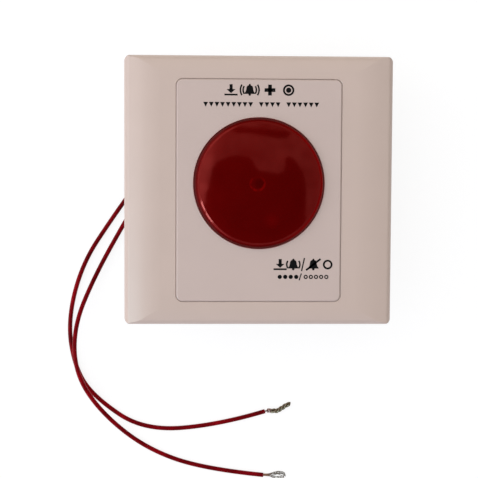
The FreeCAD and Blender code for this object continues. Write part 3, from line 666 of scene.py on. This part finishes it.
def wound_strands(name, route, winding, diameter):
    """Strands that wind about a route: how many, how far from it and their turns."""
    path = guide_points(route)
    count, radius, turns = winding
    return [thin_wire(name, helix(path, radius, turns, 2 * math.pi * i / count), diameter)
            for i in range(count)]


def make_bare_neck(sizes):
    """A few thin strands past the insulation, and a knot of strands before the solder."""
    pieces = wound_strands("neck_strand", NECK_ROUTE, NECK_STRANDS, sizes.strand_diameter)
    pieces += wound_strands("knot_strand", KNOT_ROUTE, KNOT_STRANDS, KNOT_DIAMETER)
    piece = join("bare_neck", pieces)
    bpy.ops.object.shade_smooth()
    return piece


def make_loose_strands(sizes):
    """Bare strands that leave a short neck and part into curved bundles, an open eye between them."""
    rng = random.Random(STRAND_SEED)
    strands = []
    for count, bundle in LOOSE_BUNDLES:
        for i in range(count):
            angle = 2 * math.pi * i / count
            off = Vector((0, NECK_SPREAD[0] * math.cos(angle), NECK_SPREAD[1] * math.sin(angle)))
            places = [Vector(p) + off for p in LOOSE_NECK]
            for step, place in enumerate(bundle):
                turn = angle + STRAND_TURN * step
                first, growth, most = BUNDLE_SPREAD
                spread = min(first + growth * step, most)
                off = Vector((rng.uniform(-STRAND_STRAY, STRAND_STRAY), spread * math.cos(turn),
                              BUNDLE_HEIGHT * math.sin(turn)))
                places.append(Vector(place) + off)
            # Every other strand is a point shorter, so that the end is ragged
            places = places[:len(places) - (i % 2)]
            strands.append(thin_wire("loose_strand", [p * MM for p in places], sizes.strand_diameter))
    piece = join("bare_strands", strands)
    bpy.ops.object.shade_smooth()
    return piece


def flat_shape(outline, height=PANEL_FRONT):
    """A flat face at this height with this outline, in millimetres."""
    deselect()
    bpy.ops.mesh.primitive_circle_add(vertices=len(outline), radius=1, fill_type="NGON")
    shape = bpy.context.object
    for vertex, (x, y) in zip(shape.data.vertices, outline):
        vertex.co = (x * MM, y * MM, height)
    return shape


def bar(start, end, width):
    """A straight stroke."""
    along = (Vector(end) - Vector(start)).normalized() * width / 2
    side = Vector((-along.y, along.x))
    return flat_shape([Vector(start) - side, Vector(end) - side, Vector(end) + side, Vector(start) + side])


def round_points(centre, radius, angles):
    """Points on a circle at these angles."""
    return [Vector(centre) + Vector((math.cos(a), math.sin(a))) * radius for a in angles]


def disc(centre, radius):
    """A filled circle."""
    return flat_shape(round_points(centre, radius, [2 * math.pi * i / 20 for i in range(20)]))


def arc(centre, radius, start, end, width, steps=14):
    """A curved stroke from one angle to another, in degrees."""
    angles = [math.radians(start + (end - start) * i / steps) for i in range(steps + 1)]
    outer = round_points(centre, radius + width / 2, angles)
    return flat_shape(outer + round_points(centre, radius - width / 2, reversed(angles)))


def bell(centre):
    """A bell from the side, in shares of its height: knob, domed body that flares to its rim, and clapper."""
    x, y = centre
    height = PRINT_HEIGHT
    profile = ((0.10, 0.42), (0.22, 0.36), (0.29, 0.24), (0.32, 0.02), (0.36, -0.14), (0.48, -0.28),
               (0.48, -0.36))
    right = [(x + px * height, y + py * height) for px, py in profile]
    left = [(x - px * height, y + py * height) for px, py in reversed(profile)]
    return [flat_shape(list(reversed(right + left))), disc((x, y + 0.45 * height), 0.09 * height),
            disc((x, y - 0.42 * height), 0.11 * height)]


def sound(centre, radii):
    """Arcs of sound at both sides of a bell."""
    return [arc(centre, radius, side - SOUND_ANGLE, side + SOUND_ANGLE, SOUND_STROKE)
            for radius in radii for side in (0, 180)]


def press_sign(centre):
    """An arrow that presses down on a plate, in shares of its height."""
    x, y = centre
    height = PRINT_HEIGHT
    return [bar((x, y + 0.5 * height), (x, y), 0.28 * height),
            flat_shape([(x - 0.4 * height, y + 0.06 * height), (x, y - 0.3 * height),
                        (x + 0.4 * height, y + 0.06 * height)]),
            bar((x - 0.6 * height, y - 0.43 * height), (x + 0.6 * height, y - 0.43 * height), 0.15 * height)]


def pointers():
    """Groups of small triangles in a row, which point down at the button."""
    x, y = POINTER_START
    half = POINTER_SIZE / 2
    row = []
    for count in POINTER_GROUPS:
        for _ in range(count):
            row.append(flat_shape([(x - half, y + half), (x, y - half), (x + half, y + half)]))
            x += POINTER_PITCH
        x += POINTER_GAP
    return row


def small_row(x, y):
    """A row of small discs, a slash and small rings."""
    start, pitch, count, radius = ROW_DISCS
    row = [disc((x + start + pitch * i, y), radius) for i in range(count)]
    foot, head = ROW_SLASH
    row.append(bar((x + foot, y - ROW_SLASH_REACH), (x + head, y + ROW_SLASH_REACH), ROW_SLASH_STROKE))
    start, pitch, count, radius = ROW_RINGS
    row += [arc((x + start + pitch * i, y), radius, 0, 360, ROW_RING_STROKE, 20) for i in range(count)]
    return row


def print_signs():
    """The panel's generic signs: press, ringing and help above the button, call and clear below it."""
    x, y = PRINT_TOP
    ringing = (x + TOP_BELL, y)
    plus = x + TOP_PLUS
    target = (x + TOP_TARGET, y)
    shapes = press_sign((x + TOP_PRESS, y)) + bell(ringing) + sound(ringing, SOUND_TOP)
    shapes += [bar((plus - PLUS_REACH, y), (plus + PLUS_REACH, y), PLUS_STROKE),
               bar((plus, y - PLUS_REACH), (plus, y + PLUS_REACH), PLUS_STROKE)]
    shapes += [arc(target, TARGET_RADIUS, 0, 360, RING_STROKE, 28), disc(target, TARGET_SPOT)]
    shapes += pointers()

    x, y = PRINT_LOW
    ringing = (x + LOW_BELL, y)
    muted = x + LOW_MUTED_BELL
    shapes += press_sign((x + LOW_PRESS, y)) + bell(ringing) + sound(ringing, SOUND_LOW)
    across, up = SLASH_REACH
    shapes.append(bar((x - across, y - up), (x + across, y + up), SLASH_STROKE))
    across, up = MUTE_REACH
    shapes += bell((muted, y)) + [bar((muted - across, y - up), (muted + across, y + up), RING_STROKE)]
    shapes.append(arc((x + LOW_RING, y), CLEAR_RADIUS, 0, 360, RING_STROKE, 28))
    return shapes + small_row(x, y - PRINT_ROW_DROP)


class CALLBUTTON_OT_leads(bpy.types.Operator):
    """Make the two leads with their bare ends."""
    bl_idname = "callbutton.leads"
    bl_label = "Leads"

    def execute(self, context):
        sizes = context.scene.call_button_sizes
        colours = context.scene.call_button_colours
        insulation = insulation_material(colours.lead)
        # Copper dipped in solder: dull grey, stained brown by the flux
        tinned = metal("copper_strands_tinned_dull", linear("#40342A"), linear("#A8947B"), 0.42, 0.7 * MM,
                       0.05 * MM)
        # Copper wire cut bare: a pinkish shine
        bare = metal("copper_strands_bare", linear("#6E544E"), linear("#C4A49C"), 0.36, 0.5 * MM, 0.02 * MM)
        # Tinned copper wire: a pale shine, worn to copper where the insulation was pulled off
        bright = metal("copper_strands_tinned_bright", linear("#6A635B"), linear("#C4BCB2"), 0.32, 0.6 * MM,
                       0.02 * MM, worn=(linear("#C8967C"), 3.6 * MM, 6.4 * MM))
        end_a = make_tinned_end()
        finish_piece(end_a, tinned, "housing")
        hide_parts("tinned_end_a")
        neck_a = make_bare_neck(sizes)
        finish_piece(neck_a, bare, "housing")
        end_b = make_loose_strands(sizes)
        finish_piece(end_b, bright, "housing")
        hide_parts("stripped_end_b")
        make_lead("lead_a", ROUTE_A, sizes.lead_diameter, insulation)
        make_lead("lead_b", ROUTE_B, sizes.lead_diameter, insulation)
        return {"FINISHED"}


class CALLBUTTON_OT_plastics(bpy.types.Operator):
    """Give the moulded pieces their plastics."""
    bl_idname = "callbutton.plastics"
    bl_label = "Plastics"

    def execute(self, context):
        sizes = context.scene.call_button_sizes
        colours = context.scene.call_button_colours
        grain = sizes.mould_grain
        # ABS from fine-eroded moulds: a soft, even gloss with no sharp mirror image
        satin = 0.36
        dress(plastic("abs_satin_frame", colours.frame, satin, grain, 0.006 * MM), "trim_frame")
        # The panel, with the cap's red bounce light painted round its opening
        dress(plastic("abs_satin_panel", colours.panel, satin, grain, 0.006 * MM, stain_and_painted_bounce=RIM_RED_BOUNCE),
              "module_panel")
        # ABS from coarser moulds at the back: matt
        dress(plastic("abs_textured_back", linear("#D8D4CC"), 0.5, grain, 0.01 * MM), "base_plate",
              "rear_cover")
        # White polystyrene, which throws the lights' glow up at the cap
        dress(plastic("styrene_white_tray", linear("#ECEAE4"), 0.4, grain, 0.004 * MM), "reflector_tray",
              "switch_plunger")
        dress(tinted_cap_material(colours.button), "button_cap")
        return {"FINISHED"}


class CALLBUTTON_OT_signs(bpy.types.Operator):
    """Print the signs on the panel in thin ink."""
    bl_idname = "callbutton.signs"
    bl_label = "Printed signs"

    def execute(self, context):
        sizes = context.scene.call_button_sizes
        colours = context.scene.call_button_colours
        piece = join("printed_signs", print_signs())
        solid = piece.modifiers.new("ink", "SOLIDIFY")
        solid.thickness = sizes.ink_thickness
        solid.offset = 1
        bpy.ops.object.modifier_apply(modifier="ink")
        # Pad printing ink: a thin matt film, nearly black
        ink = plastic("pad_print_ink_black", colours.ink, 0.6, sizes.mould_grain, 0.003 * MM,
                      sockets={"Specular IOR Level": 0.1})
        finish_piece(piece, ink, "housing")
        return {"FINISHED"}


class CALLBUTTON_OT_inside(bpy.types.Operator):
    """Give the screws and the parts on the board their finishes."""
    bl_idname = "callbutton.inside"
    bl_label = "Screws and board"

    def execute(self, context):
        grain = context.scene.call_button_sizes.mould_grain
        # Zinc-plated steel: bright grey with cloudy tones
        dress(metal("steel_zinc_plated", linear("#8F8C86"), linear("#C9C6BE"), 0.34, 0.8 * MM, 0.01 * MM),
              "cover_screws", "switch_pins")
        # Solder that has flowed: bright and smooth
        dress(metal("solder_bright", linear("#8A8A86"), linear("#D0D0CC"), 0.3, 0.7 * MM, 0.02 * MM),
              "lead_joints")
        # A drawn aluminium can: pale, with broad faint tones
        dress(metal("aluminium_can", linear("#A9A9A9"), linear("#D5D5D5"), 0.28, 3 * MM, 0.005 * MM),
              "capacitor")
        # Green solder mask over glass and epoxy: glossy lacquer
        dress(plastic("board_green_mask", linear("#1E5B34"), 0.3, grain, 0.004 * MM), "circuit_board")
        # Glass-filled nylon: black and slightly matt
        dress(plastic("nylon_black_switch", linear("#151515"), 0.45, grain, 0.006 * MM), "switch_body")
        # Moulded epoxy of diodes and resistors: black and satin
        dress(plastic("epoxy_black", linear("#1A1A1A"), 0.4, grain, 0.006 * MM),
              *[f"diode_{i}" for i in range(1, 5)], "resistor_1", "resistor_2")
        # Milky epoxy over the lights: pale, slightly yellow and glossy
        dress(plastic("lamp_white_lens", linear("#F2EEDC"), 0.2, grain, 0.002 * MM),
              *[f"led_{i}" for i in range(1, 5)])
        return {"FINISHED"}


def seen_or_not(tree):
    """A socket that is 1 for camera, glossy and transmitted rays, and 0 for the light that lights."""
    path = add_node(tree, "LightPath")
    mirrored = add_node(tree, "Math", {"operation": "MAXIMUM"},
                        {0: path.outputs["Is Glossy Ray"], 1: path.outputs["Is Transmission Ray"]})
    return add_node(tree, "Math", {"operation": "MAXIMUM"},
                    {0: path.outputs["Is Camera Ray"], 1: mirrored.outputs["Value"]}).outputs["Value"]


def tent_light(tree, way):
    """The strength of the soft light from all round, which is stronger on the window's side."""
    unit = add_node(tree, "VectorMath", {"operation": "NORMALIZE"}, {0: way})
    side = add_node(tree, "VectorMath", {"operation": "DOT_PRODUCT", 1: WINDOW_WAY},
                    {0: unit.outputs["Vector"]})
    return add_node(tree, "Math", {"operation": "MULTIPLY_ADD", 1: AIR * AIR_DRIFT, 2: AIR},
                    {0: side.outputs["Value"]}).outputs["Value"]


def tent_colour(tree, way):
    """White to the camera, and otherwise the soft light's colour, cooler from one side than the other."""
    unit = add_node(tree, "VectorMath", {"operation": "NORMALIZE"}, {0: way})
    side = add_node(tree, "VectorMath", {"operation": "DOT_PRODUCT", 1: COOL_WAY},
                    {0: unit.outputs["Vector"]})
    share = add_node(tree, "MapRange", {"From Min": -1.0}, {"Value": side.outputs["Value"]})
    tint = add_node(tree, "Mix", {"data_type": "RGBA", 6: rgba(WARM_AIR), 7: rgba(COOL_AIR)},
                    {"Factor": share.outputs["Result"]})
    path = add_node(tree, "LightPath")
    return add_node(tree, "Mix", {"data_type": "RGBA", 7: rgba(WHITE)},
                    {"Factor": path.outputs["Is Camera Ray"], 6: tint.outputs[2]}).outputs[2]


def make_world():
    """White for what is seen or mirrored, and the soft light of the tent for the rest."""
    world = bpy.data.worlds.new("studio_air")
    world.use_nodes = True
    tree = world.node_tree
    tree.nodes.clear()
    sky = add_node(tree, "TexCoord")
    strength = add_node(tree, "Mix", {"data_type": "FLOAT", 3: 1.0},
                        {0: seen_or_not(tree), 2: tent_light(tree, sky.outputs["Generated"])})
    air = add_node(tree, "Background", {}, {"Strength": strength.outputs[0],
                                            "Color": tent_colour(tree, sky.outputs["Generated"])})
    output = add_node(tree, "OutputWorld")
    tree.links.new(air.outputs[0], output.inputs["Surface"])
    bpy.context.scene.world = world


def make_floor():
    """A white table top: mostly a glow where it is seen, with a weak lit part that keeps the shadow."""
    deselect()
    bpy.ops.mesh.primitive_plane_add(size=TABLE_SIZE * MM, location=(0, 0, -TABLE_DROP * MM))
    floor = bpy.context.object
    floor.name = "floor"
    apply_place(floor)
    material, tree, output = new_material("table_white")
    table = add_node(tree, "BsdfDiffuse", {"Color": rgba(WHITE, TABLE_WHITE)})
    lit = add_node(tree, "BsdfDiffuse", {"Color": rgba(WHITE, TABLE_LIT)})
    glow = add_node(tree, "Emission", {"Color": rgba(WHITE), "Strength": TABLE_GLOW})
    white = add_node(tree, "AddShader", {}, {0: lit.outputs[0], 1: glow.outputs[0]})
    both = add_node(tree, "MixShader", {}, {0: seen_or_not(tree), 1: table.outputs[0], 2: white.outputs[0]})
    tree.links.new(both.outputs[0], output.inputs["Surface"])
    floor.data.materials.append(material)


def cloth(name, glow, turn):
    """Studio cloth that mirrors see in patches, with one glow on its right and one on its left and a soft
    turn between, that lights as the tent does, and that the camera sees as white."""
    material, tree, output = new_material(name)
    place = add_node(tree, "TexCoord").outputs["Object"]
    across = add_node(tree, "VectorMath", {"operation": "DOT_PRODUCT", 1: CLOTH_WAY}, {0: place})
    drift = add_node(tree, "MapRange",
                     {"interpolation_type": "SMOOTHSTEP", "From Min": turn[0] * MM, "From Max": turn[1] * MM,
                      "To Min": glow[0], "To Max": glow[1]}, {"Value": across.outputs["Value"]})
    breadth, faint, bright = CLOTH_PATCHES
    patches = add_node(tree, "TexNoise", {"Scale": 1 / (breadth * MM), "Detail": 1.0}, {"Vector": place})
    patchy = add_node(tree, "MapRange", {"From Min": 0.3, "From Max": 0.7, "To Min": faint, "To Max": bright},
                      {"Value": patches.outputs["Fac"]})
    mirrored = add_node(tree, "Math", {"operation": "MULTIPLY"},
                        {0: drift.outputs["Result"], 1: patchy.outputs["Result"]})
    path = add_node(tree, "LightPath")
    strength = add_node(tree, "Mix", {"data_type": "FLOAT"},
                        {0: seen_or_not(tree), 2: tent_light(tree, place), 3: mirrored.outputs["Value"]})
    shown = add_node(tree, "Mix", {"data_type": "FLOAT", 3: 1.0},
                     {0: path.outputs["Is Camera Ray"], 2: strength.outputs[0]})
    shine = add_node(tree, "Emission", {}, {"Strength": shown.outputs[0], "Color": tent_colour(tree, place)})
    tree.links.new(shine.outputs[0], output.inputs["Surface"])
    return material


def make_card(name, outline, height, material):
    """A flat overhead card, from an outline in millimetres."""
    card = flat_shape(outline, height * MM)
    card.name = name
    card.data.materials.append(material)


def make_low_board():
    """A low black board beyond the plate's upper edge, which takes the light off that edge. Mirrors and the
    camera don't see it."""
    deselect()
    bpy.ops.mesh.primitive_plane_add(size=1, location=point(BOARD_PLACE), rotation=(math.pi / 2, 0, 0))
    board = bpy.context.object
    board.name = "low_board"
    board.scale = (BOARD_SIZE[0] * MM, BOARD_SIZE[1] * MM, 1)
    apply_place(board)
    board.data.materials.append(new_material("black_board")[0])
    board.visible_camera = False
    board.visible_glossy = False


def make_walls(material):
    """Dim walls round the table, which darken the rims of glossy pieces."""
    deselect()
    bpy.ops.mesh.primitive_cylinder_add(vertices=48, radius=WALLS_RADIUS * MM, depth=WALLS_HEIGHT * MM,
                                        end_fill_type="NOTHING", location=(0, 0, WALLS_HEIGHT / 2 * MM))
    walls = bpy.context.object
    walls.name = "walls"
    apply_place(walls)
    walls.data.materials.append(material)


def make_lamp(name, place, size, watts):
    """A flat lamp that points at the part."""
    light = bpy.data.lights.new(name, "AREA")
    light.shape = "RECTANGLE"
    light.size = size[0] * MM
    light.size_y = size[1] * MM
    light.energy = watts
    lamp = bpy.data.objects.new(name, light)
    lamp.location = point(place)
    lamp.rotation_euler = (point(LAMP_AIM) - point(place)).to_track_quat("-Z", "Y").to_euler()
    bpy.context.scene.collection.objects.link(lamp)
    return lamp


def make_camera():
    """The photograph's view: nearly square on to the plate, from a little to the left."""
    data = bpy.data.cameras.new("camera")
    data.sensor_width = 36.0
    data.lens = CAMERA_LENS
    data.clip_start = 0.01
    data.clip_end = 20.0
    camera = bpy.data.objects.new("camera", data)
    back = (point(CAMERA_PLACE) - point(CAMERA_AIM)).normalized()
    right = Vector((0, 1, 0)).cross(back).normalized()
    up = back.cross(right)
    turn = Matrix((right, up, back)).transposed() @ Matrix.Rotation(math.radians(CAMERA_ROLL), 3, "Z")
    camera.matrix_world = Matrix.Translation(point(CAMERA_PLACE)) @ turn.to_4x4()
    bpy.context.scene.collection.objects.link(camera)
    bpy.context.scene.camera = camera


class CALLBUTTON_OT_stage(bpy.types.Operator):
    """Set up the camera, the white table and the studio light."""
    bl_idname = "callbutton.stage"
    bl_label = "Studio"

    def execute(self, context):
        context.scene.view_settings.view_transform = "Standard"
        make_camera()
        make_world()
        make_floor()
        make_card("overhead_card", CARD_OUTLINE, CARD_HEIGHT, cloth("pale_cloth", CARD_GLOW, CARD_TURN))
        dark = cloth("black_cloth", FLAG_GLOW, CARD_TURN)
        make_card("overhead_flag", FLAG_OUTLINE, FLAG_HEIGHT, dark)
        make_card("overhead_bar", BAR_OUTLINE, FLAG_HEIGHT, dark)
        make_walls(cloth("dim_cloth", WALL_GLOW, WALL_TURN))
        make_low_board()
        key = make_lamp("key_lamp", KEY_PLACE, KEY_SIZE, KEY_WATTS)
        key.visible_glossy = False
        for place, width, watts in WINDOW_PANES:
            pane = make_lamp("window_pane", place, (width, PANE_HEIGHT), watts)
            pane.data.color = SKY_COLOUR
            pane.visible_diffuse = False
        return {"FINISHED"}


CLASSES = (CallButtonSizes, CallButtonColours, CALLBUTTON_OT_leads, CALLBUTTON_OT_plastics,
           CALLBUTTON_OT_signs, CALLBUTTON_OT_inside, CALLBUTTON_OT_stage)


class CALLBUTTON_PT_panel(bpy.types.Panel):
    """Lists the steps in the 3D view's sidebar."""
    bl_label = "Call button"
    bl_space_type = "VIEW_3D"
    bl_region_type = "UI"
    bl_category = "Call button"

    def draw(self, context):
        for cls in CLASSES:
            if issubclass(cls, bpy.types.Operator):
                self.layout.operator(cls.bl_idname)


def register():
    for cls in (*CLASSES, CALLBUTTON_PT_panel):
        bpy.utils.register_class(cls)
    bpy.types.Scene.call_button_sizes = PointerProperty(type=CallButtonSizes)
    bpy.types.Scene.call_button_colours = PointerProperty(type=CallButtonColours)


def unregister():
    del bpy.types.Scene.call_button_colours
    del bpy.types.Scene.call_button_sizes
    for cls in reversed((*CLASSES, CALLBUTTON_PT_panel)):
        bpy.utils.unregister_class(cls)


def main():
    register()
    bpy.ops.callbutton.stage()
    bpy.ops.callbutton.leads()
    bpy.ops.callbutton.plastics()
    bpy.ops.callbutton.signs()
    bpy.ops.callbutton.inside()


if __name__ == "__main__":
    main()
